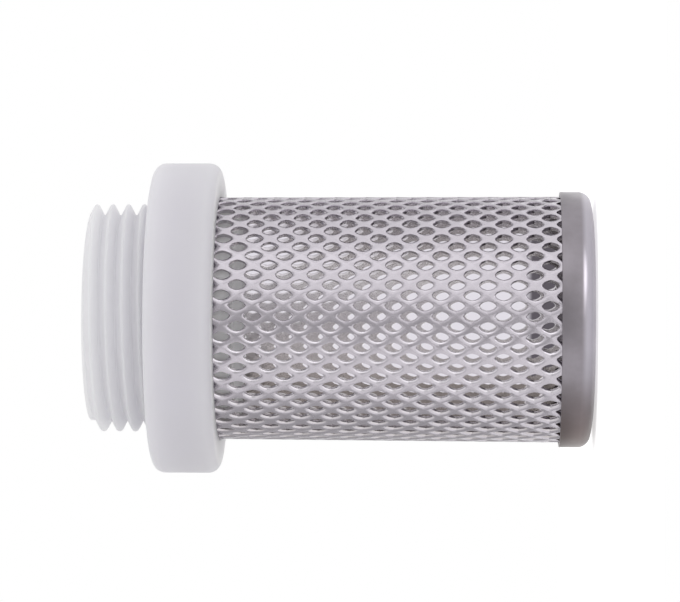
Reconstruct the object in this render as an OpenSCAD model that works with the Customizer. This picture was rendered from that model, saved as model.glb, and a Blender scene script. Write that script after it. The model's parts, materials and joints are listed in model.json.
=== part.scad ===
// Hydraulic suction strainer with a one inch pipe thread: a moulded nylon collar, a basket
// rolled from expanded stainless steel and a pressed stainless steel end cap.
// It stands on its cap with the thread up, and Z = 0 is the flat end of the cap.

/* [Threaded collar] */
// Major diameter of the pipe thread
thread_d = 33.25; // [31:0.05:40]
// Pitch of the pipe thread, which sets its depth
thread_pitch = 2.31; // [1.4:0.01:3]
// Length of the threaded end above the flange
thread_l = 9.25; // [6:0.05:25]
// Diameter of the bore through the collar
bore_d = 26; // [16:0.1:27.5]
// Chamfer at the upper mouth of the bore
bore_chamfer = 0.6; // [0.2:0.1:1]
// Diameter of the flange
flange_d = 45.2; // [42:0.1:70]
// Thickness of the flange
flange_t = 9.7; // [6:0.1:20]
// Radius of the flange's rims
rim_r = 1.7; // [0.5:0.1:2.5]
// How far the spigot reaches below the flange, inside the basket
spigot_l = 2.5; // [1:0.1:12]
// How deep the basket sits in the flange
socket_depth = 2; // [1:0.1:4]

/* [Mesh tube] */
// Outside diameter of the mesh tube
mesh_d = 35.6; // [33:0.1:40]
// Thickness of the expanded sheet
mesh_t = 0.7; // [0.4:0.05:1.2]
// Length of mesh that shows between the flange and the cap
mesh_show = 49.3; // [20:0.1:120]
// Cells in one ring around the tube
cells_around = 37; // [16:1:44]
// Length of one cell along the tube, the long way of the mesh
cell_l = 4.44; // [3:0.01:8]
// Length of the bond where two strands join
bond_l = 1.5; // [0.6:0.1:2]
// Width of one strand of the mesh
strand_w = 0.8; // [0.75:0.01:1.2]
// Plain strip below the first row of openings, and at least as much above the last
end_strip = 1.3; // [0.5:0.1:3]
// Angle by which the rows of openings are turned about the axis
mesh_turn = 1.5; // [0:0.1:9]

/* [End cap] */
// Height of the cap
cap_h = 4.9; // [3:0.1:12]
// Thickness of the cap's sheet
cap_t = 0.6; // [0.3:0.05:0.9]
// Outside radius of the cap's corner
cap_r = 1.5; // [1.1:0.1:2.5]

/* [Fit] */
// Radial gap between the mesh tube and its seats in the collar and the cap
seat_gap = 0.2; // [0.05:0.01:0.3]

/* [Hidden] */
$fn = 96;

// Depth of a 55 degree pipe thread in pitches
thread_depth = 0.64 * thread_pitch;
// Small overlap that lets a cut pass clear of a face
cut = 0.5;

// Heights of the seats, from the flat end of the cap upwards
mesh_z0 = cap_r;
flange_z0 = cap_h + mesh_show;
mesh_z1 = flange_z0 + socket_depth;
flange_z1 = flange_z0 + flange_t;
thread_z1 = flange_z1 + thread_l;
spigot_z0 = flange_z0 - spigot_l;
mesh_l = mesh_z1 - mesh_z0;

// Radii of the mesh tube and of what it fits
mesh_r = mesh_d / 2;
mesh_in_r = mesh_r - mesh_t;
spigot_r = mesh_in_r - seat_gap;
socket_r = mesh_r + seat_gap;
cap_out_r = mesh_r + seat_gap + cap_t;

// The sheet is flat along each pair of rows of openings, which makes it a close polygon
flat_angle = 360 / cells_around;
cell_w = 2 * mesh_in_r * sin(flat_angle / 2);
eye_l = cell_l - bond_l;
eye_w = cell_w - 2 * strand_w;

// Rows of openings, each half a cell above the last and set over its bonds
row_step = cell_l / 2;
row_z0 = end_strip + eye_l / 2;
row_count = floor((mesh_l - 2 * row_z0) / row_step) + 1;

// Section of a disc of radius r and height h with both rims rounded
module rounded_section(r, h, rim) {
    square([r - rim, h]);
    translate([0, rim]) square([r, h - 2 * rim]);
    for (z = [rim, h - rim]) translate([r - rim, z]) circle(rim);
}

// Outline of one opening, pointed at both ends of its length
module eye() {
    polygon([[eye_l / 2, 0], [0, eye_w / 2], [-eye_l / 2, 0], [0, -eye_w / 2]]);
}

// Section of the tube at one of its radii, with a corner between each two flats
module tube_section(r) {
    polygon([for (flat = [0 : cells_around - 1])
        r * [cos(flat * flat_angle + mesh_turn), sin(flat * flat_angle + mesh_turn)]]);
}

// Cutters for one flat's openings, whose rows lie in turn on its left and right half
module flat_eyes(flat) {
    rotate((flat + 0.5) * flat_angle + mesh_turn)
        for (row = [0 : row_count - 1])
            translate([mesh_in_r - cut, (0.5 - row % 2) * cell_w / 2, row_z0 + row * row_step])
                rotate([0, 90, 0]) linear_extrude(mesh_t + 2 * cut) eye();
}

// Moulded nylon collar: threaded end, flange and spigot round one bore
module threaded_collar() {
    color("whitesmoke")
    difference() {
        union() {
            translate([0, 0, flange_z0]) rotate_extrude() rounded_section(flange_d / 2, flange_t, rim_r);
            translate([0, 0, flange_z1 - cut]) cylinder(d = thread_d, h = thread_l - thread_depth + cut);
            translate([0, 0, thread_z1 - thread_depth])
                cylinder(d1 = thread_d, d2 = thread_d - 2 * thread_depth, h = thread_depth);
            translate([0, 0, spigot_z0]) cylinder(r = spigot_r, h = spigot_l + cut);
        }
        translate([0, 0, spigot_z0 - cut]) cylinder(d = bore_d, h = thread_z1 - spigot_z0 + 2 * cut);
        translate([0, 0, thread_z1 - bore_chamfer])
            cylinder(d1 = bore_d, d2 = bore_d + 2 * (bore_chamfer + cut), h = bore_chamfer + cut);
        difference() {
            translate([0, 0, flange_z0 - cut]) cylinder(r = socket_r, h = socket_depth + cut);
            translate([0, 0, flange_z0 - 2 * cut]) cylinder(r = spigot_r, h = socket_depth + 3 * cut);
        }
    }
}

// Basket of expanded sheet, rolled to a tube
module mesh_tube() {
    color("silver")
    translate([0, 0, mesh_z0])
        difference() {
            linear_extrude(mesh_l) difference() {
                tube_section(mesh_r);
                tube_section(mesh_in_r);
            }
            for (flat = [0 : cells_around - 1]) flat_eyes(flat);
        }
}

// Pressed cup that closes the basket
module end_cap() {
    color("darkgray")
    difference() {
        rotate_extrude() {
            square([cap_out_r - cap_r, cap_h]);
            translate([0, cap_r]) square([cap_out_r, cap_h - cap_r]);
            translate([cap_out_r - cap_r, cap_r]) circle(cap_r);
        }
        rotate_extrude() {
            translate([0, cap_t]) square([cap_out_r - cap_r, cap_h]);
            translate([0, cap_r]) square([cap_out_r - cap_t, cap_h]);
            translate([cap_out_r - cap_r, cap_r]) circle(cap_r - cap_t);
        }
    }
}

threaded_collar();
mesh_tube();
end_cap();
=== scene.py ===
"""Hydraulic suction strainer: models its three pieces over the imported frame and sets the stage."""
import json
import math

import bmesh
import bpy
from bpy.props import FloatProperty, FloatVectorProperty, IntProperty, PointerProperty
from mathutils import Matrix, Vector


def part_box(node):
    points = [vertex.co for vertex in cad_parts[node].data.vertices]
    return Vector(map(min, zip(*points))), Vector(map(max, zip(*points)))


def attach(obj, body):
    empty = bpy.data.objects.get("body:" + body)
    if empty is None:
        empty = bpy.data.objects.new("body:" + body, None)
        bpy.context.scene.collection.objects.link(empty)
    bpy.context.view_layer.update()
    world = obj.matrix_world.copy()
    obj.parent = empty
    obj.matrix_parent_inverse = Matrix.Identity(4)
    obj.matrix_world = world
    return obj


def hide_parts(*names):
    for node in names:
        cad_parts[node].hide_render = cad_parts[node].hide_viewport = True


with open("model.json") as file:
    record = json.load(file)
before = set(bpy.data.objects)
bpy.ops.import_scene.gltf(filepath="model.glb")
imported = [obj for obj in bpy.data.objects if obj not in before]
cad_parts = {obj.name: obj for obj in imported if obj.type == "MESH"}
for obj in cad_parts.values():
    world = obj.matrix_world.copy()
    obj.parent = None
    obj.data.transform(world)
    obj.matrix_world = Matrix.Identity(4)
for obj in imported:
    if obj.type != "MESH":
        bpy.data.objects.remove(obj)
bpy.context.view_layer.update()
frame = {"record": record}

bl_info = {
    "name": "Hydraulic suction strainer",
    "version": (1, 0, 0),
    "blender": (4, 5, 0),
    "location": "View3D > Sidebar > Strainer",
    "description": "Models a suction strainer: moulded collar, expanded metal basket and pressed cap",
    "category": "Object",
}

MM = 0.001
FULL_TURN = 2 * math.pi
# Vertices closer than this are one vertex
WELD = 0.005 * MM

# Places and sizes that the frame gives
COLLAR_LOW, COLLAR_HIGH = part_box("threaded_collar")
MESH_LOW, MESH_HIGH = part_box("mesh_tube")
CAP_LOW, CAP_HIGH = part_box("end_cap")
MOUNTS = {mount["name"]: mount for mount in frame["record"]["mounts"]}

# Half the angle between the flanks of a pipe thread, in degrees
FLANK = 27.5

# Facets around the turned forms
COLLAR_STEPS = 288
THREAD_STEPS = 144
CAP_STEPS = 192


def linear(hex_code):
    """Turn an sRGB hex colour into linear red, green and blue."""
    parts = [int(hex_code[i:i + 2], 16) / 255 for i in (1, 3, 5)]
    return tuple(c / 12.92 if c <= 0.04045 else ((c + 0.055) / 1.055) ** 2.4 for c in parts)


def size(name, description, default):
    """A length that the user can change."""
    return FloatProperty(name=name, description=description, default=default,
                         unit="LENGTH", subtype="DISTANCE", precision=5)


def turn(name, description, degrees):
    """An angle that the user can change."""
    return FloatProperty(name=name, description=description, default=math.radians(degrees),
                         unit="ROTATION", subtype="ANGLE")


def colour(name, description, hex_code):
    """A colour that the user can change."""
    return FloatVectorProperty(name=name, description=description, default=linear(hex_code),
                               size=3, min=0, max=1, subtype="COLOR")


class StrainerCollar(bpy.types.PropertyGroup):
    """Sizes of the moulded collar."""
    thread_radius: size("Thread radius", "Crest radius of the pipe thread",
                        MOUNTS["pipe_thread"]["dims"]["r_mm"] * MM)
    thread_pitch: size("Thread pitch", "Distance from crest to crest", 2.309 * MM)
    thread_end: size("Thread end", "Height of the threaded end's face", COLLAR_HIGH[2])
    crest_height: size("Crest height", "Height of the first full crest on the +X side", 72.42 * MM)
    crest_round: size("Crest rounding", "Radius of the thread's crests and roots", 0.26 * MM)
    flange_radius: size("Flange radius", "Outside radius of the flange", COLLAR_HIGH[0])
    flange_low: size("Flange underside", "Height of the flange's underside", 54.2 * MM)
    flange_high: size("Flange face", "Height of the flange's sealing face",
                      MOUNTS["sealing_face"]["pos_m"][2])
    rim_round: size("Rim rounding", "Radius of the flange's rims", 1.7 * MM)
    rim_notch: size("Rim notch depth", "Depth of the fine notches on the upper rim", 0.05 * MM)
    rim_notches: IntProperty(name="Rim notches", description="Notches around the upper rim", default=96)
    spigot_radius: size("Spigot radius", "Outside radius of the spigot inside the basket", 16.9 * MM)
    spigot_low: size("Spigot end", "Height of the spigot's lower end", COLLAR_LOW[2])
    socket_radius: size("Socket radius", "Radius of the socket that takes the basket", 17.74 * MM)
    socket_edge: size("Socket edge", "Rounding at the mouth of the socket", 0.12 * MM)
    socket_floor: size("Socket floor", "Height of the socket's floor", MESH_HIGH[2])
    edge_break: size("Edge break", "Rounding on the small edges", 0.3 * MM)
    bore_radius: size("Bore radius", "Radius of the bore", MOUNTS["suction_bore"]["dims"]["r_mm"] * MM)
    bore_chamfer: size("Bore chamfer", "Chamfer at the bore's upper mouth", 0.6 * MM)


class StrainerBasket(bpy.types.PropertyGroup):
    """Sizes of the expanded metal basket."""
    low: size("Lower end", "Height of the tube's lower end, on the cap's inner corner",
              MESH_LOW[2] + 0.35 * MM)
    high: size("Upper end", "Height of the tube's upper end", MESH_HIGH[2])
    low_radius: size("Lower radius", "Outside radius at the cap", 17.91 * MM)
    high_radius: size("Upper radius", "Outside radius at the collar", 17.64 * MM)
    thickness: size("Sheet thickness", "Thickness of the expanded sheet", 0.72 * MM)
    cells_around: IntProperty(name="Cells around", description="Cells in one ring", default=37)
    cell_length: size("Cell length", "Length of one cell along the tube", 4.44 * MM)
    row_turn: turn("Row angle", "Angle of one row of openings from the -Y side towards +X", -3.4)
    row_height: size("Row height", "Height of one opening in that row", 6.48 * MM)
    drift_low: turn("Drift at the cap", "How far the openings at the back run ahead of an even spacing", 1.2)
    drift_high: turn("Drift at the collar", "The same at the upper end of the tube", 3.9)
    back_drop: size("Back drop", "How far the openings at the back lie below those at the front", 0.3 * MM)
    mouth_length: size("Mouth length", "Length of an opening at the outer face", 2.9 * MM)
    mouth_width: size("Mouth width", "Width of an opening at the outer face", 1.78 * MM)
    mouth_depth: size("Mouth depth", "How far the strands curve down to the mouth", 0.04 * MM)
    lip_share: FloatProperty(name="Lip share", description="How far the lip has closed at its edge",
                             default=0.8, min=0, max=1, subtype="FACTOR")
    lip_depth: size("Lip depth", "Depth of the lip's inner edge", 0.18 * MM)
    lip_rise: size("Lip rise", "How far the mouth's middle lies below the throat's", 0.12 * MM)
    throat_length: size("Throat length", "Length of an opening at its narrowest", 2.4 * MM)
    throat_width: size("Throat width", "Width of an opening at its narrowest", 1.42 * MM)
    throat_depth: size("Throat depth", "How deep the narrowest place lies", 0.4 * MM)
    strand_tilt: turn("Strand tilt", "Angle by which stretching has turned the strands", 3)
    lap_lift: size("Lap lift", "How far the lapped edge stands proud", 0.13 * MM)
    lap_shift: size("Lap shift", "How far the lapped strands lie off those below", 0.2 * MM)
    lap_wall: size("Lap thickness", "Thickness of the lapped strands", 0.3 * MM)


class StrainerCap(bpy.types.PropertyGroup):
    """Sizes of the pressed cap."""
    radius: size("Radius", "Outside radius of the cap", CAP_HIGH[0])
    height: size("Height", "Height of the cap", CAP_HIGH[2])
    wall: size("Wall", "Thickness of the pressed sheet", 0.6 * MM)
    flat_radius: size("Flat radius", "Radius of the flat on which the cap stands", 13.5 * MM)
    crown_radius: size("Crown radius", "Radius at which the crown turns into the corner", 17.2 * MM)
    crown_slope: turn("Crown slope", "Slope of the crown where the corner starts", 14)
    edge_break: size("Edge break", "Rounding on the rim's edges", 0.12 * MM)


class StrainerFinish(bpy.types.PropertyGroup):
    """Colours of the materials and the stage."""
    nylon: colour("Nylon", "Moulded natural nylon", "#DAD8DF")
    nylon_shade: colour("Nylon shade", "Slightly darker clouds in the nylon", "#D3D1D6")
    # Painted light: lighter tones for the threaded end and the spigot, which lift their shade and stand in
    # for light through their thin walls
    nylon_thread_painted_light: colour("Thin nylon", "Lighter tone of the threaded end", "#DFDEE3")
    nylon_spigot_painted_light: colour("Spigot nylon", "Lighter tone of the spigot", "#F6F5F4")
    mesh_steel: colour("Mesh steel", "Satin outer face of the expanded steel", "#B8B3BA")
    # Painted shade and painted highlight: a duller and a brighter tone for the two walls of each opening
    mesh_wall_painted_shade: colour("Mesh torn walls", "Duller walls, where the slits tore", "#C2BDC3")
    mesh_wall_painted_highlight: colour("Mesh cut walls", "Bright walls, which the slitting tool has burnished", "#E4E0E6")
    # Painted light: the inner face is lighter than the outer face
    mesh_inside_painted_light: colour("Mesh inside", "Bright inner face of the expanded steel", "#EEEAEE")
    # Painted reflection and shade: a darker brownish tone on the -X side of the basket
    mesh_painted_reflection: colour("Mesh film", "Brownish film inside the -X side of the basket", "#958E8A")
    cap_steel: colour("Cap steel", "Pressed steel", "#8C878D")
    cap_cloud: colour("Cap clouds", "Duller clouds on the pressed steel", "#827D82")
    # Painted highlight: a brighter tone on the cap's corner
    cap_painted_highlight: colour("Cap burnish", "Brighter steel on the corner that the die has rubbed", "#AEAAB2")
    # Painted reflection and shade: a darker brownish tone on the -X side of the cap
    cap_painted_reflection: colour("Cap stain", "Brownish film on the -X side of the cap", "#6A5E5C")
    floor: colour("Floor", "Plain pale floor", "#F2F2F2")
    card: colour("Card", "Pale card behind the basket", "#E2DEE6")
    card_gap: colour("Card gap", "Dark gap below the card", "#5E5960")


def deselect_all():
    """Leave no object selected."""
    if bpy.context.object and bpy.context.object.mode != "OBJECT":
        bpy.ops.object.mode_set(mode="OBJECT")
    bpy.ops.object.select_all(action="DESELECT")


def make_active(piece):
    """Select one object alone and make it the active one."""
    deselect_all()
    piece.select_set(True)
    bpy.context.view_layer.objects.active = piece


def select_points(piece, test):
    """In edit mode, select the points that pass a test and whatever lies between them."""
    bpy.ops.mesh.select_mode(type="VERT")
    bpy.ops.mesh.select_all(action="DESELECT")
    shape = bmesh.from_edit_mesh(piece.data)
    for point in shape.verts:
        point.select_set(test(point.co))
    shape.select_flush(True)
    bmesh.update_edit_mesh(piece.data)


def weld(piece):
    """In edit mode, merge doubles and turn every face outwards."""
    bpy.ops.mesh.select_all(action="SELECT")
    bpy.ops.mesh.remove_doubles(threshold=WELD)
    bpy.ops.mesh.normals_make_consistent(inside=False)
    if bmesh.from_edit_mesh(piece.data).calc_volume(signed=True) < 0:
        bpy.ops.mesh.flip_normals()


def apply_modifier(piece, kind, **settings):
    """Add a modifier, set it and apply it."""
    make_active(piece)
    bpy.ops.object.modifier_add(type=kind)
    modifier = piece.modifiers[-1]
    for key, value in settings.items():
        setattr(modifier, key, value)
    bpy.ops.object.modifier_apply(modifier=modifier.name)


def combine(piece, tool, operation):
    """Join a tool solid to a piece, or cut it away, and delete the tool."""
    apply_modifier(piece, "BOOLEAN", operation=operation, object=tool, solver="EXACT")
    bpy.data.objects.remove(tool, do_unlink=True)


def arc(centre_r, centre_z, radius, start, end, steps):
    """Points of an arc in the radius and height plane, with angles in degrees from the outward side."""
    angles = [math.radians(start + (end - start) * i / steps) for i in range(steps + 1)]
    return [(centre_r + radius * math.cos(a), centre_z + radius * math.sin(a)) for a in angles]


def draw_outline(name, points):
    """Draw an outline of radius and height points by extruding one vertex along it."""
    deselect_all()
    bpy.ops.mesh.primitive_plane_add(size=MM)
    piece = bpy.context.object
    piece.name = name
    bpy.ops.object.mode_set(mode="EDIT")
    bpy.ops.mesh.select_mode(type="VERT")
    bpy.ops.mesh.select_all(action="SELECT")
    bpy.ops.mesh.merge(type="CENTER")
    bpy.ops.transform.translate(value=(points[0][0], 0, points[0][1]))
    for (r0, z0), (r1, z1) in zip(points, points[1:]):
        bpy.ops.mesh.extrude_vertices_move(TRANSFORM_OT_translate={"value": (r1 - r0, 0, z1 - z0)})
    bpy.ops.mesh.select_all(action="SELECT")
    return piece


def spun_solid(name, points, steps):
    """Spin an outline about the axis into a closed solid."""
    piece = draw_outline(name, points)
    bpy.ops.mesh.spin(steps=steps, angle=FULL_TURN, center=(0, 0, 0), axis=(0, 0, 1))
    weld(piece)
    bpy.ops.object.mode_set(mode="OBJECT")
    return piece


def finish_piece(piece, name, material, node, smooth_degrees):
    """Shade a piece, give it its material and hand it to the frame."""
    make_active(piece)
    piece.name = name
    piece.data.name = name
    piece.data.materials.clear()
    piece.data.materials.append(material)
    bpy.ops.object.shade_smooth_by_angle(angle=math.radians(smooth_degrees))
    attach(piece, "root")
    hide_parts(node)


def shader_node(tree, kind, inputs=None, **settings):
    """Add a shader node, set its properties, and set or link each named input."""
    made = tree.nodes.new(kind)
    for key, value in settings.items():
        setattr(made, key, value)
    for key, value in (inputs or {}).items():
        if isinstance(value, bpy.types.NodeSocket):
            tree.links.new(value, made.inputs[key])
        else:
            made.inputs[key].default_value = value
    return made


def empty_tree(block):
    """Switch a material or world to nodes and clear them."""
    block.use_nodes = True
    block.node_tree.nodes.clear()
    return block.node_tree


def rgba(colour_value):
    """A colour socket's value from a colour property."""
    return (*colour_value, 1.0)


def moulded_nylon(finish, collar):
    """Moulded natural nylon: waxy white that light soaks into, with a fine satin skin."""
    material = bpy.data.materials.new("moulded natural nylon")
    tree = empty_tree(material)
    place = shader_node(tree, "ShaderNodeTexCoord").outputs["Object"]
    # Clouds about 14 mm wide, as the melt leaves them
    cloud = shader_node(tree, "ShaderNodeTexNoise", {"Vector": place, "Scale": 1 / (14 * MM), "Detail": 3.0})
    body = shader_node(tree, "ShaderNodeMix", {0: cloud.outputs["Fac"], 6: rgba(finish.nylon),
                                               7: rgba(finish.nylon_shade)}, data_type="RGBA")
    # Painted light: the threaded end and the spigot are thin, so they get lighter tones that stand in for
    # the light coming through them and lift the shade in the thread's grooves and behind the basket
    split = shader_node(tree, "ShaderNodeSeparateXYZ", {"Vector": place})
    height = split.outputs["Z"]
    above = shader_node(tree, "ShaderNodeMapRange", {
        "Value": height, "From Min": collar.flange_high - MM, "From Max": collar.flange_high + MM})
    blend = 0.2 * MM
    below = shader_node(tree, "ShaderNodeMapRange", {
        "Value": height, "From Min": collar.flange_low + blend, "From Max": collar.flange_low - blend})
    lighter = shader_node(tree, "ShaderNodeMix", {0: above.outputs["Result"], 6: body.outputs[2],
                                                  7: rgba(finish.nylon_thread_painted_light)}, data_type="RGBA")
    tint = shader_node(tree, "ShaderNodeMix", {0: below.outputs["Result"], 6: lighter.outputs[2],
                                               7: rgba(finish.nylon_spigot_painted_light)}, data_type="RGBA")
    # Spark-eroded mould skin, with its grain drawn as coarse as 0.4 mm so that it shows
    skin = shader_node(tree, "ShaderNodeTexNoise", {"Vector": place, "Scale": 1 / (0.4 * MM), "Detail": 2.0})
    bump = shader_node(tree, "ShaderNodeBump", {"Height": skin.outputs["Fac"], "Strength": 0.12,
                                                "Distance": 0.05 * MM})
    shader = shader_node(tree, "ShaderNodeBsdfPrincipled", {
        "Base Color": tint.outputs[2], "Roughness": 0.45, "IOR": 1.53, "Specular IOR Level": 0.3,
        "Subsurface Weight": 1.0, "Subsurface Radius": (1.0, 1.0, 1.0), "Subsurface Scale": 9 * MM,
        "Normal": bump.outputs["Normal"]})
    shader_node(tree, "ShaderNodeOutputMaterial", {"Surface": shader.outputs["BSDF"]})
    return material


def expanded_steel(finish, basket):
    """Slit and stretched stainless steel: satin strands, with painted shade on one wall of each opening and
    a painted highlight on the other.
    """
    material = bpy.data.materials.new("expanded stainless steel")
    tree = empty_tree(material)
    source = shader_node(tree, "ShaderNodeTexCoord")
    place = source.outputs["Object"]
    # Distance to the axis, with the tube's taper taken out
    flat = shader_node(tree, "ShaderNodeMapping", {"Vector": place, "Scale": (1, 1, 0)})
    reach = shader_node(tree, "ShaderNodeVectorMath", {0: flat.outputs["Vector"]}, operation="LENGTH")
    split = shader_node(tree, "ShaderNodeSeparateXYZ", {"Vector": place})
    taper = (basket.low_radius - basket.high_radius) / basket.high
    level = shader_node(tree, "ShaderNodeMath", {
        0: split.outputs["Z"], 1: taper, 2: reach.outputs["Value"]}, operation="MULTIPLY_ADD")
    # How deep the outer face ends and the inner face begins
    face = basket.low_radius
    outer = shader_node(tree, "ShaderNodeMapRange", {
        "Value": level.outputs["Value"], "From Min": face - 0.18 * MM, "From Max": face - 0.08 * MM})
    inner = shader_node(tree, "ShaderNodeMapRange", {
        "Value": level.outputs["Value"], "From Min": face - 0.6 * MM, "From Max": face - 0.68 * MM})
    # Smudges about 3 mm wide from handling
    smudge = shader_node(tree, "ShaderNodeTexNoise", {"Vector": place, "Scale": 1 / (3 * MM), "Detail": 4.0})
    # Painted highlight and shade: walls that face counter-clockwise from above, towards +X at the front, get
    # the brighter tone, and walls that face the other way get the duller tone
    twist = shader_node(tree, "ShaderNodeVectorMath", {
        0: flat.outputs["Vector"], 1: source.outputs["Normal"]}, operation="CROSS_PRODUCT")
    facing = shader_node(tree, "ShaderNodeSeparateXYZ", {"Vector": twist.outputs["Vector"]})
    steep = 0.4 * face
    side = shader_node(tree, "ShaderNodeMapRange", {
        "Value": facing.outputs["Z"], "From Min": -steep, "From Max": steep})
    wall_light_and_shade = shader_node(tree, "ShaderNodeMix", {0: side.outputs["Result"], 6: rgba(finish.mesh_wall_painted_shade),
                                                7: rgba(finish.mesh_wall_painted_highlight)}, data_type="RGBA")
    # Painted reflection and shade: a darker brownish tone towards the -X side, strong on the inner face and
    # weaker on the walls
    thin = shader_node(tree, "ShaderNodeMapRange", {
        "Value": split.outputs["X"], "From Min": -8 * MM, "From Max": -17 * MM, "To Max": 0.6})
    thick = shader_node(tree, "ShaderNodeMapRange", {
        "Value": split.outputs["X"], "From Min": 2 * MM, "From Max": -10 * MM})
    wall = shader_node(tree, "ShaderNodeMix", {0: thin.outputs["Result"], 6: wall_light_and_shade.outputs[2],
                                               7: rgba(finish.mesh_painted_reflection)}, data_type="RGBA")
    # Painted light: the inner face gets a lighter tone than the outer face
    back = shader_node(tree, "ShaderNodeMix", {0: thick.outputs["Result"], 6: rgba(finish.mesh_inside_painted_light),
                                               7: rgba(finish.mesh_painted_reflection)}, data_type="RGBA")
    front = shader_node(tree, "ShaderNodeMix", {0: outer.outputs["Result"], 6: wall.outputs[2],
                                                7: rgba(finish.mesh_steel)}, data_type="RGBA")
    tint = shader_node(tree, "ShaderNodeMix", {0: inner.outputs["Result"], 6: front.outputs[2],
                                               7: back.outputs[2]}, data_type="RGBA")
    rough = shader_node(tree, "ShaderNodeMapRange", {
        "Value": smudge.outputs["Fac"], "From Min": 0.3, "From Max": 0.7, "To Min": 0.17, "To Max": 0.3})
    # Rolled and sheared skin, with its grain drawn as coarse as 0.25 mm so that it shows
    grain = shader_node(tree, "ShaderNodeTexNoise", {
        "Vector": place, "Scale": 1 / (0.25 * MM), "Detail": 2.0})
    bump = shader_node(tree, "ShaderNodeBump", {"Height": grain.outputs["Fac"], "Strength": 0.05,
                                                "Distance": 0.03 * MM})
    shader = shader_node(tree, "ShaderNodeBsdfPrincipled", {
        "Base Color": tint.outputs[2], "Metallic": 1.0, "Roughness": rough.outputs["Result"],
        "Normal": bump.outputs["Normal"]})
    shader_node(tree, "ShaderNodeOutputMaterial", {"Surface": shader.outputs["BSDF"]})
    return material


def pressed_steel(finish):
    """Deep drawn stainless steel: clouded grey with fine draw lines up the wall."""
    material = bpy.data.materials.new("drawn stainless steel")
    tree = empty_tree(material)
    place = shader_node(tree, "ShaderNodeTexCoord").outputs["Object"]
    # Clouds about 5 mm wide where the lubricant was wiped off
    cloud = shader_node(tree, "ShaderNodeTexNoise", {"Vector": place, "Scale": 1 / (5 * MM), "Detail": 5.0,
                                                     "Roughness": 0.6})
    spread = shader_node(tree, "ShaderNodeMapRange", {
        "Value": cloud.outputs["Fac"], "From Min": 0.35, "From Max": 0.65})
    wall = shader_node(tree, "ShaderNodeMix", {0: spread.outputs["Result"], 6: rgba(finish.cap_steel),
                                               7: rgba(finish.cap_cloud)}, data_type="RGBA")
    rough = shader_node(tree, "ShaderNodeMapRange", {
        "Value": spread.outputs["Result"], "To Min": 0.28, "To Max": 0.36})
    # Painted highlight: the corner below 2.2 mm gets a brighter tone, less so on the -X side
    split = shader_node(tree, "ShaderNodeSeparateXYZ", {"Vector": place})
    low = shader_node(tree, "ShaderNodeMapRange", {
        "Value": split.outputs["Z"], "From Min": 2.2 * MM, "From Max": 1.3 * MM},
        interpolation_type="SMOOTHSTEP")
    side = shader_node(tree, "ShaderNodeMapRange", {
        "Value": split.outputs["X"], "From Min": -15 * MM, "From Max": -4 * MM})
    corner_highlight = shader_node(tree, "ShaderNodeMath", {0: low.outputs["Result"], 1: side.outputs["Result"]},
                         operation="MULTIPLY")
    bright = shader_node(tree, "ShaderNodeMix", {0: corner_highlight.outputs["Value"], 6: wall.outputs[2],
                                                 7: rgba(finish.cap_painted_highlight)}, data_type="RGBA")
    # Painted reflection and shade: a darker brownish tone towards the -X side
    painted_reflection = shader_node(tree, "ShaderNodeMapRange", {
        "Value": split.outputs["X"], "From Min": -8 * MM, "From Max": -17 * MM})
    tint = shader_node(tree, "ShaderNodeMix", {0: painted_reflection.outputs["Result"], 6: bright.outputs[2],
                                               7: rgba(finish.cap_painted_reflection)}, data_type="RGBA")
    # Draw lines that run up the wall, drawn as far as 0.2 mm apart so that they show
    stretched = shader_node(tree, "ShaderNodeMapping", {"Vector": place, "Scale": (1, 1, 0.06)})
    lines = shader_node(tree, "ShaderNodeTexNoise", {"Vector": stretched.outputs["Vector"],
                                                     "Scale": 1 / (0.2 * MM), "Detail": 2.0})
    bump = shader_node(tree, "ShaderNodeBump", {"Height": lines.outputs["Fac"], "Strength": 0.1,
                                                "Distance": 0.02 * MM})
    shader = shader_node(tree, "ShaderNodeBsdfPrincipled", {
        "Base Color": tint.outputs[2], "Metallic": 1.0, "Roughness": rough.outputs["Result"],
        "Normal": bump.outputs["Normal"]})
    shader_node(tree, "ShaderNodeOutputMaterial", {"Surface": shader.outputs["BSDF"]})
    return material


def collar_outline(collar):
    """Half section of the flange and spigot, without the bore and the thread."""
    edge = collar.edge_break
    lead = collar.socket_edge
    rim = collar.rim_round
    rim_r = collar.flange_radius - rim
    points = [(0, collar.spigot_low)]
    points += arc(collar.spigot_radius - edge, collar.spigot_low + edge, edge, -90, 0, 4)
    points += [(collar.spigot_radius, collar.socket_floor), (collar.socket_radius, collar.socket_floor)]
    points += arc(collar.socket_radius + lead, collar.flange_low + lead, lead, 180, 270, 4)
    points += arc(rim_r, collar.flange_low + rim, rim, -90, 0, 10)
    points += arc(rim_r, collar.flange_high - rim, rim, 0, 90, 10)
    points += [(0, collar.flange_high)]
    return points


def bore_outline(collar):
    """Half section of the tool that cuts the bore and breaks its mouths."""
    over = MM
    low = collar.spigot_low
    high = collar.thread_end
    radius = collar.bore_radius
    edge = collar.edge_break
    chamfer = collar.bore_chamfer
    return [(0, low - over), (radius + edge + over, low - over), (radius, low + edge),
            (radius, high - chamfer), (radius + chamfer + over, high + over), (0, high + over)]


def notch_rim(piece, collar):
    """Press shallow notches into the rounded upper rim of the flange."""
    rim_r = collar.flange_radius - collar.rim_round
    rim_z = collar.flange_high - collar.rim_round
    for point in piece.data.vertices:
        reach = math.hypot(point.co.x, point.co.y)
        climb = math.atan2(point.co.z - rim_z, reach - rim_r)
        if reach > rim_r and 0 < climb < math.pi / 2:
            wave = 0.5 - 0.5 * math.cos(collar.rim_notches * math.atan2(point.co.y, point.co.x))
            pull = 1 - collar.rim_notch * wave * math.sin(2 * climb) / reach
            point.co.x *= pull
            point.co.y *= pull


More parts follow.
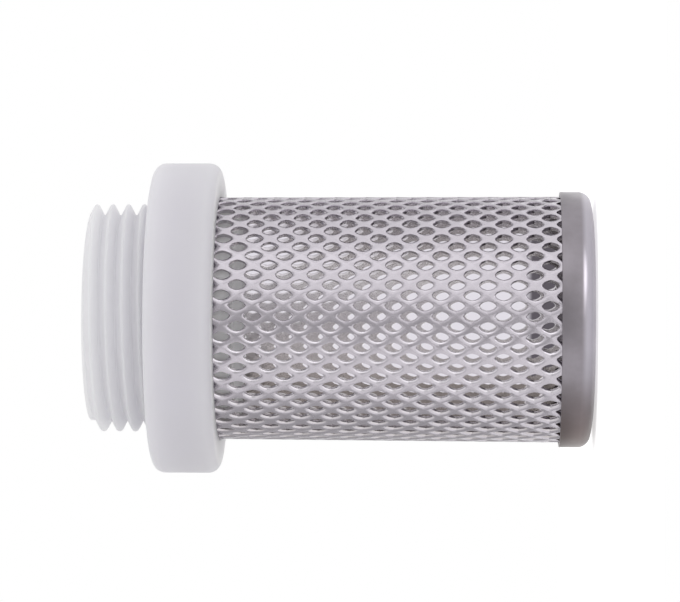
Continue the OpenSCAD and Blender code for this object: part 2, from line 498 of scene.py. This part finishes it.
def thread_outline(collar):
    """One pitch of the thread, from the middle of one root to the middle of the next."""
    pitch = collar.thread_pitch
    rounding = collar.crest_round
    root = collar.thread_radius - thread_depth(collar)
    crest_z = collar.crest_height
    points = arc(root + rounding, crest_z - pitch / 2, rounding, 180, 90 + FLANK, 3)
    points += arc(collar.thread_radius - rounding, crest_z, rounding, FLANK - 90, 90 - FLANK, 6)
    points += arc(root + rounding, crest_z + pitch / 2, rounding, 270 - FLANK, 180, 3)
    return points


def thread_depth(collar):
    """Depth of a thread whose flanks run straight between the roundings."""
    flank = math.radians(FLANK)
    sharp = collar.thread_pitch / 2 / math.tan(flank)
    return sharp - 2 * collar.crest_round * (1 / math.sin(flank) - 1)


def fade_thread_start(piece, collar):
    """Let the first turn rise out of the root over half a turn, as a moulded thread starts."""
    root = collar.thread_radius - thread_depth(collar)
    # Where the rise begins and how long it is, in half turns
    begin = 0.1
    length = 0.7
    for point in piece.data.vertices:
        angle = math.atan2(point.co.y, point.co.x)
        turns_up = (point.co.z - collar.crest_height) / collar.thread_pitch - angle / FULL_TURN
        along = angle + FULL_TURN * math.floor(turns_up + 0.5)
        if turns_up > -0.5 and along > 0:
            share = min(max((along / math.pi - begin) / length, 0), 1)
            keep = 1 - share * share * (3 - 2 * share)
            reach = math.hypot(point.co.x, point.co.y)
            pull = (root + (reach - root) * keep) / reach
            point.co.x *= pull
            point.co.y *= pull


def helical_thread(collar):
    """Sweep the thread's outline up its helix and close both ends with flat faces."""
    turns = 8
    turns_above = 2
    base = draw_outline("thread", thread_outline(collar))
    bpy.ops.transform.translate(value=(0, 0, (turns_above - turns) * collar.thread_pitch))
    bpy.ops.object.mode_set(mode="OBJECT")
    apply_modifier(base, "SCREW", axis="Z", angle=FULL_TURN, screw_offset=collar.thread_pitch,
                   iterations=turns, steps=THREAD_STEPS, render_steps=THREAD_STEPS,
                   use_merge_vertices=True, merge_threshold=WELD)
    bpy.ops.object.mode_set(mode="EDIT")
    weld(base)
    bpy.ops.object.mode_set(mode="OBJECT")
    fade_thread_start(base, collar)
    bpy.ops.object.mode_set(mode="EDIT")
    cut_level(collar.thread_end, 1)
    cut_level(collar.flange_high - MM, -1)
    weld(base)
    bpy.ops.object.mode_set(mode="OBJECT")
    return base


def cut_level(height, side):
    """In edit mode, cut everything off above a height, or below it, and close the cut."""
    bpy.ops.mesh.select_all(action="SELECT")
    bpy.ops.mesh.bisect(plane_co=(0, 0, height), plane_no=(0, 0, side), use_fill=True, clear_outer=True,
                        threshold=WELD / 10)


class STRAINER_OT_collar(bpy.types.Operator):
    """Model the moulded collar with its flange, spigot, helical thread and bore"""
    bl_idname = "strainer.collar"
    bl_label = "Moulded collar"

    def execute(self, context):
        collar = context.scene.strainer_collar
        body = spun_solid("collar", collar_outline(collar), COLLAR_STEPS)
        notch_rim(body, collar)
        combine(body, helical_thread(collar), "UNION")
        combine(body, spun_solid("bore", bore_outline(collar), COLLAR_STEPS), "DIFFERENCE")
        material = moulded_nylon(context.scene.strainer_finish, collar)
        finish_piece(body, "moulded_collar", material, "threaded_collar", smooth_degrees=40)
        return {"FINISHED"}


def shaped_loop(depth, width, length, rise=0, roundness=None):
    """Extrude the selected loop inwards to a new width, length, depth and place, rounding its points."""
    bpy.ops.mesh.extrude_region_move()
    if roundness:
        bpy.ops.transform.tosphere(value=roundness)
    bpy.ops.transform.resize(value=(width, 1, length))
    bpy.ops.transform.translate(value=(rise, depth, 0))


def cell_width(basket):
    """Width of one cell, measured round the tube."""
    return FULL_TURN * basket.low_radius / basket.cells_around


def flat_cell(basket):
    """Model one cell of the flat sheet: the rhombus between four bonds, with its opening."""
    half = (cell_width(basket) / 2, basket.cell_length / 2)
    cuts = 3
    roundness = 0.75
    # The opening widens again below its throat
    flare = (1.12, 1.08)
    # Share of a corner's reach that is left after the loop is rounded
    points_per_side = cuts + 1
    reaches = [math.hypot(1 - i / points_per_side, i / points_per_side) for i in range(points_per_side)]
    tip = 1 - roundness * (1 - sum(reaches) / points_per_side)
    mouth = (basket.mouth_width / 2 / half[0] / tip, basket.mouth_length / 2 / half[1] / tip)
    throat = (basket.throat_width / basket.mouth_width, basket.throat_length / basket.mouth_length)
    lip = [1 - basket.lip_share * (1 - share) for share in throat]
    back = (basket.throat_width * flare[0] / 2 / half[0] / tip,
            basket.throat_length * flare[1] / 2 / half[1] / tip)

    deselect_all()
    bpy.ops.mesh.primitive_circle_add(vertices=4, radius=1, fill_type="NOTHING",
                                      rotation=(math.pi / 2, 0, 0))
    cell = bpy.context.object
    bpy.ops.object.transform_apply(location=False, rotation=True, scale=False)
    bpy.ops.object.mode_set(mode="EDIT")
    bpy.ops.mesh.select_mode(type="VERT")
    bpy.ops.mesh.select_all(action="SELECT")
    bpy.ops.mesh.subdivide(number_cuts=cuts)
    # The inner face, from a copy of the rhombus at the sheet's depth
    bpy.ops.mesh.duplicate_move(TRANSFORM_OT_translate={"value": (0, basket.thickness, 0)})
    shaped_loop(0, back[0], back[1], 0, roundness)
    # The outer face with its lip
    select_points(cell, lambda co: co.y < basket.thickness / 2)
    rise = basket.lip_rise / half[0]
    shaped_loop(basket.mouth_depth, mouth[0], mouth[1], -rise, roundness)
    shaped_loop(basket.lip_depth - basket.mouth_depth, lip[0], lip[1], rise)
    shaped_loop(basket.throat_depth - basket.lip_depth, throat[0] / lip[0], throat[1] / lip[1])
    # The wall between the throat and the inner face
    inner_reach = 0.99
    above_throat = 0.9 * basket.throat_depth
    select_points(cell, lambda co: co.y > above_throat and abs(co.x) + abs(co.z) < inner_reach)
    bpy.ops.mesh.bridge_edge_loops()
    bpy.ops.mesh.select_all(action="SELECT")
    bpy.ops.transform.resize(value=(half[0], 1, half[1]), center_override=(0, 0, 0))
    # The opening turns about its length, which lifts its upper lip and sinks its lower one
    select_points(cell, lambda co: abs(co.x) / half[0] + abs(co.z) / half[1] < inner_reach)
    bpy.ops.transform.rotate(value=basket.strand_tilt, orient_axis="Z",
                             center_override=(0, basket.thickness / 2, 0))
    bpy.ops.object.mode_set(mode="OBJECT")
    return cell


def flat_sheet(basket):
    """Repeat the cell along and around the sheet, in rows set half a cell apart."""
    width = cell_width(basket)
    length = basket.cell_length
    # Cells to spare at both ends are trimmed off after rolling
    below = math.ceil((basket.row_height - basket.low) / length) + 1
    rows = math.ceil((basket.high - basket.low) / length) + 3
    sheet = flat_cell(basket)
    bpy.ops.object.mode_set(mode="EDIT")
    bpy.ops.mesh.select_all(action="SELECT")
    start = (basket.row_turn * basket.low_radius, 0, basket.row_height - below * length)
    bpy.ops.transform.translate(value=start)
    bpy.ops.object.mode_set(mode="OBJECT")
    steps = (((width / 2, 0, length / 2), 2), ((0, 0, length), rows), ((width, 0, 0), basket.cells_around))
    for offset, count in steps:
        apply_modifier(sheet, "ARRAY", count=count, use_relative_offset=False, use_constant_offset=True,
                       constant_offset_displace=offset)
    bpy.ops.object.mode_set(mode="EDIT")
    bpy.ops.mesh.select_all(action="SELECT")
    bpy.ops.mesh.remove_doubles(threshold=WELD)
    bpy.ops.object.mode_set(mode="OBJECT")
    return sheet


def lapped_edge(sheet, basket):
    """Copy the two strands at the sheet's edge, lift their lower side and give them thickness."""
    width = cell_width(basket)
    low = basket.row_turn * basket.low_radius
    high = low + width
    # Faces that lie higher than this belong to the strands' outer side
    shallow = 0.45 * basket.lip_depth
    make_active(sheet)
    bpy.ops.object.mode_set(mode="EDIT")
    bpy.ops.mesh.select_mode(type="FACE")
    bpy.ops.mesh.select_all(action="DESELECT")
    shape = bmesh.from_edit_mesh(sheet.data)
    for face in shape.faces:
        middle = face.calc_center_median()
        face.select_set(low < middle.x < high and middle.y < shallow)
    bmesh.update_edit_mesh(sheet.data)
    bpy.ops.mesh.duplicate()
    bpy.ops.mesh.separate(type="SELECTED")
    bpy.ops.object.mode_set(mode="OBJECT")
    lap = [piece for piece in bpy.context.selected_objects if piece is not sheet][0]
    make_active(lap)
    bpy.ops.object.mode_set(mode="EDIT")
    bpy.ops.mesh.select_all(action="SELECT")
    bpy.ops.mesh.normals_make_consistent(inside=False)
    if sum(face.normal.y * face.area for face in lap.data.polygons) > 0:
        bpy.ops.mesh.flip_normals()
    # The copy turns about its upper edge, which sinks a little into the sheet
    sunk = 0.02 * MM
    bpy.ops.transform.translate(value=(basket.lap_shift, sunk, 0))
    lift = basket.lap_lift / width
    bpy.ops.transform.rotate(value=-lift, orient_axis="Z", center_override=(high, 0, 0))
    bpy.ops.object.mode_set(mode="OBJECT")
    apply_modifier(lap, "SOLIDIFY", thickness=basket.lap_wall, offset=-1)
    return lap


def drift_openings(sheet, basket):
    """Let the openings drift out of step towards the back of the tube, as the stretched sheet has them."""
    for point in sheet.data.vertices:
        behind = 0.5 - 0.5 * math.cos(point.co.x / basket.low_radius)
        drift = basket.drift_low + (basket.drift_high - basket.drift_low) * point.co.z / basket.high
        point.co.x += behind * drift * basket.low_radius
        point.co.z -= behind * basket.back_drop


def roll_sheet(sheet, basket):
    """Bend the sheet round the axis, taper it towards the collar and trim both ends."""
    xs = [point.co.x for point in sheet.data.vertices]
    zs = [point.co.z for point in sheet.data.vertices]
    apply_modifier(sheet, "SIMPLE_DEFORM", deform_method="BEND", deform_axis="Z",
                   angle=(max(xs) - min(xs)) / basket.low_radius)
    bpy.ops.object.mode_set(mode="EDIT")
    bpy.ops.mesh.select_all(action="SELECT")
    bpy.ops.transform.translate(value=(0, -basket.low_radius, 0))
    bpy.ops.object.mode_set(mode="OBJECT")
    narrowing = (basket.high_radius / basket.low_radius - 1) / basket.high
    apply_modifier(sheet, "SIMPLE_DEFORM", deform_method="TAPER", deform_axis="Z",
                   factor=narrowing * (max(zs) - min(zs)))
    bpy.ops.object.mode_set(mode="EDIT")
    weld(sheet)
    cut_level(basket.high, 1)
    cut_level(basket.low, -1)
    weld(sheet)
    bpy.ops.object.mode_set(mode="OBJECT")


class STRAINER_OT_basket(bpy.types.Operator):
    """Model one cell of expanded sheet, repeat it, lap its edge and roll it to a tube"""
    bl_idname = "strainer.basket"
    bl_label = "Expanded basket"

    def execute(self, context):
        basket = context.scene.strainer_basket
        sheet = flat_sheet(basket)
        lap = lapped_edge(sheet, basket)
        make_active(sheet)
        lap.select_set(True)
        bpy.ops.object.join()
        drift_openings(sheet, basket)
        roll_sheet(sheet, basket)
        material = expanded_steel(context.scene.strainer_finish, basket)
        finish_piece(sheet, "expanded_basket", material, "mesh_tube", smooth_degrees=55)
        return {"FINISHED"}


def cap_outline(cap):
    """Half section of the cup, from the middle of its floor out, up over the rim and back outside."""
    edge = cap.edge_break
    slope = cap.crown_slope
    steep = math.degrees(slope) - 90
    crown = (cap.crown_radius - cap.flat_radius) / math.sin(slope)
    corner = (cap.radius - cap.crown_radius) / (1 - math.sin(slope))
    corner_r = cap.radius - corner
    corner_z = crown * (1 - math.cos(slope)) + corner * math.cos(slope)
    points = [(0, cap.wall)]
    points += arc(cap.flat_radius, crown, crown - cap.wall, -90, steep, 5)
    points += arc(corner_r, corner_z, corner - cap.wall, steep, 0, 8)[1:]
    points += arc(cap.radius - cap.wall + edge, cap.height - edge, edge, 180, 90, 4)
    points += arc(cap.radius - edge, cap.height - edge, edge, 90, 0, 4)
    points += arc(corner_r, corner_z, corner, 0, steep, 12)
    points += arc(cap.flat_radius, crown, crown, steep, -90, 5)[1:]
    points += [(0, 0)]
    return points


class STRAINER_OT_cap(bpy.types.Operator):
    """Model the pressed cap as a spun cup with a rounded corner"""
    bl_idname = "strainer.cap"
    bl_label = "Pressed cap"

    def execute(self, context):
        cap = context.scene.strainer_cap
        cup = spun_solid("cap", cap_outline(cap), CAP_STEPS)
        material = pressed_steel(context.scene.strainer_finish)
        finish_piece(cup, "pressed_cap", material, "end_cap", smooth_degrees=40)
        return {"FINISHED"}


def add_lamp(name, place, aim, breadth, watts):
    """Add a square soft lamp that faces a point."""
    deselect_all()
    bpy.ops.object.light_add(type="AREA", location=place)
    lamp = bpy.context.object
    lamp.name = name
    lamp.data.energy = watts
    lamp.data.size = breadth
    lamp.rotation_euler = (Vector(aim) - Vector(place)).to_track_quat("-Z", "Y").to_euler()


def studio_world(finish):
    """White for what the camera sees, plain light for the rest, and a room that metal mirrors."""
    world = bpy.data.worlds.new("studio")
    bpy.context.scene.world = world
    tree = empty_tree(world)
    path = shader_node(tree, "ShaderNodeLightPath")
    heading = shader_node(tree, "ShaderNodeTexCoord").outputs["Generated"]
    split = shader_node(tree, "ShaderNodeSeparateXYZ", {"Vector": heading})
    # The middle of the -Y side is dark, as a lens and its stand are
    room = shader_node(tree, "ShaderNodeMapRange", {
        "Value": split.outputs["Y"], "From Min": -1.0, "From Max": -0.9, "To Min": 0.55, "To Max": 0.95})
    # The -X side is a dim wall
    wall = shader_node(tree, "ShaderNodeVectorMath", {0: heading, 1: (-0.93, 0.36, 0)},
                       operation="DOT_PRODUCT")
    dim = shader_node(tree, "ShaderNodeMapRange", {
        "Value": wall.outputs["Value"], "From Min": 0.5, "From Max": 1.0, "To Min": 1.0, "To Max": 0.6})
    # The +X side is a bright ceiling
    ceiling = shader_node(tree, "ShaderNodeMapRange", {
        "Value": split.outputs["X"], "From Min": 0.75, "From Max": 1.0, "To Min": 0.0, "To Max": 0.32})
    shade = shader_node(tree, "ShaderNodeMath", {0: room.outputs["Result"], 1: dim.outputs["Result"],
                                                 2: ceiling.outputs["Result"]}, operation="MULTIPLY_ADD")
    mirror = shader_node(tree, "ShaderNodeMath", {
        0: path.outputs["Is Glossy Ray"], 1: path.outputs["Is Transmission Ray"]}, operation="MAXIMUM")
    # Plain light that falls off a little towards the -X side
    plain = shader_node(tree, "ShaderNodeMapRange", {
        "Value": split.outputs["X"], "From Min": -1.0, "From Max": 0.0, "To Min": 0.68, "To Max": 0.885})
    soft = shader_node(tree, "ShaderNodeMix", {0: mirror.outputs["Value"], 2: plain.outputs["Result"],
                                               3: shade.outputs["Value"]})
    seen = shader_node(tree, "ShaderNodeMix", {0: path.outputs["Is Camera Ray"], 2: soft.outputs[0], 3: 1.0})
    # A pale card far behind the basket, which shows only through its openings
    middle_and_reach = {"X": (-0.0046, 0.0329), "Y": (1.0, 0.1), "Z": (0.0205, 0.0515)}
    card = 1.0
    for axis, (middle, reach) in middle_and_reach.items():
        within = shader_node(tree, "ShaderNodeMath", {0: split.outputs[axis], 1: middle, 2: reach},
                             operation="COMPARE")
        both = shader_node(tree, "ShaderNodeMath", {0: card, 1: within.outputs["Value"]},
                           operation="MULTIPLY")
        card = both.outputs["Value"]
    # The card ends short of the cap, with a dark gap below it
    below = shader_node(tree, "ShaderNodeMapRange", {
        "Value": split.outputs["Z"], "From Min": -0.0172, "From Max": -0.0192})
    behind = shader_node(tree, "ShaderNodeMix", {0: below.outputs["Result"], 6: rgba(finish.card),
                                                 7: rgba(finish.card_gap)}, data_type="RGBA")
    tone = shader_node(tree, "ShaderNodeMix", {0: card, 6: (1, 1, 1, 1), 7: behind.outputs[2]},
                       data_type="RGBA")
    sky = shader_node(tree, "ShaderNodeBackground", {"Color": tone.outputs[2], "Strength": seen.outputs[0]})
    shader_node(tree, "ShaderNodeOutputWorld", {"Surface": sky.outputs["Background"]})


def floor_paper(finish):
    """Matt white paper that stays white to the camera and keeps the object's shadow."""
    material = bpy.data.materials.new("matt white paper")
    tree = empty_tree(material)
    path = shader_node(tree, "ShaderNodeLightPath")
    place = shader_node(tree, "ShaderNodeTexCoord").outputs["Object"]
    paper = shader_node(tree, "ShaderNodeBsdfDiffuse", {"Color": rgba(finish.floor)})
    # A glowing patch before the cap, seen only in reflections and so only in the cap's corner, paints a
    # highlight there
    spot = shader_node(tree, "ShaderNodeMapping", {
        "Vector": place, "Location": (8 * MM, -20 * MM, 0), "Rotation": (0, 0, math.radians(22)),
        "Scale": (9 * MM, 2.4 * MM, 1)}, vector_type="TEXTURE")
    patch = shader_node(tree, "ShaderNodeTexGradient", {"Vector": spot.outputs["Vector"]},
                        gradient_type="SPHERICAL")
    mirrored = shader_node(tree, "ShaderNodeMath", {
        0: patch.outputs["Fac"], 1: path.outputs["Is Glossy Ray"]}, operation="MULTIPLY")
    patch_glow = 3.2
    paper_glow = 0.55
    level = shader_node(tree, "ShaderNodeMath", {0: mirrored.outputs["Value"], 1: patch_glow, 2: paper_glow},
                        operation="MULTIPLY_ADD")
    glow = shader_node(tree, "ShaderNodeEmission", {
        "Color": (1, 1, 1, 1), "Strength": level.outputs["Value"]})
    both = shader_node(tree, "ShaderNodeAddShader", {0: paper.outputs["BSDF"], 1: glow.outputs["Emission"]})
    watched = shader_node(tree, "ShaderNodeMath", {0: path.outputs["Is Camera Ray"],
                                                   1: path.outputs["Is Glossy Ray"]}, operation="MAXIMUM")
    mixed = shader_node(tree, "ShaderNodeMixShader", {0: watched.outputs["Value"], 1: paper.outputs["BSDF"],
                                                      2: both.outputs["Shader"]})
    shader_node(tree, "ShaderNodeOutputMaterial", {"Surface": mixed.outputs["Shader"]})
    return material


def place_camera():
    """Look at the strainer from the -Y side with its axis level and the thread to the left."""
    distance = 511 * MM
    offset = 2.58 * MM
    eye = Vector((offset, -distance, 18.6 * MM))
    aim = Vector((offset, 0, 36.85 * MM))
    roll = math.radians(0.235)
    sensor = 36
    focal_pixels = 3500
    picture_width = 680
    back = (eye - aim).normalized()
    up_level = Vector((1, 0, 0))
    right_level = up_level.cross(back).normalized()
    right = math.cos(roll) * right_level + math.sin(roll) * up_level
    up = back.cross(right).normalized()
    deselect_all()
    bpy.ops.object.camera_add()
    camera = bpy.context.object
    turned = Matrix((right, up, back)).transposed().to_4x4()
    camera.matrix_world = Matrix.Translation(eye) @ turned
    camera.data.sensor_width = sensor
    camera.data.sensor_fit = "HORIZONTAL"
    camera.data.lens = sensor * focal_pixels / picture_width
    camera.data.clip_start = 0.01
    bpy.context.scene.camera = camera


class STRAINER_OT_stage(bpy.types.Operator):
    """Set the floor, the lamps, the surroundings and the camera"""
    bl_idname = "strainer.stage"
    bl_label = "Stage"

    def execute(self, context):
        finish = context.scene.strainer_finish
        floor_breadth = 0.36
        floor_level = -0.2 * MM
        deselect_all()
        bpy.ops.mesh.primitive_plane_add(size=floor_breadth, location=(0, 0, floor_level))
        floor = context.object
        floor.name = "floor"
        floor.data.materials.append(floor_paper(finish))
        middle = (0, 0, 35 * MM)
        breadth = 0.42
        add_lamp("key", (0.40, -0.33, 0.06), middle, breadth, watts=0.21)
        add_lamp("fill", (-0.37, -0.42, 0.10), middle, breadth, watts=0.12)
        studio_world(finish)
        place_camera()
        context.scene.view_settings.view_transform = "Standard"
        return {"FINISHED"}


class STRAINER_PT_panel(bpy.types.Panel):
    """Lists the strainer's pieces and its stage."""
    bl_idname = "STRAINER_PT_panel"
    bl_label = "Suction strainer"
    bl_space_type = "VIEW_3D"
    bl_region_type = "UI"
    bl_category = "Strainer"

    def draw(self, context):
        layout = self.layout
        for operator in OPERATORS:
            layout.operator(operator.bl_idname)


OPERATORS = (STRAINER_OT_collar, STRAINER_OT_basket, STRAINER_OT_cap, STRAINER_OT_stage)
GROUPS = {"strainer_collar": StrainerCollar, "strainer_basket": StrainerBasket, "strainer_cap": StrainerCap,
          "strainer_finish": StrainerFinish}


def register():
    """Register the property groups, the operators and the panel."""
    for name, group in GROUPS.items():
        bpy.utils.register_class(group)
        setattr(bpy.types.Scene, name, PointerProperty(type=group))
    for kind in (*OPERATORS, STRAINER_PT_panel):
        bpy.utils.register_class(kind)


def unregister():
    """Take the panel, the operators and the property groups out again."""
    for kind in (STRAINER_PT_panel, *reversed(OPERATORS)):
        bpy.utils.unregister_class(kind)
    for name, group in reversed(GROUPS.items()):
        delattr(bpy.types.Scene, name)
        bpy.utils.unregister_class(group)


def main():
    register()
    bpy.ops.strainer.collar()
    bpy.ops.strainer.basket()
    bpy.ops.strainer.cap()
    bpy.ops.strainer.stage()


if __name__ == "__main__":
    main()
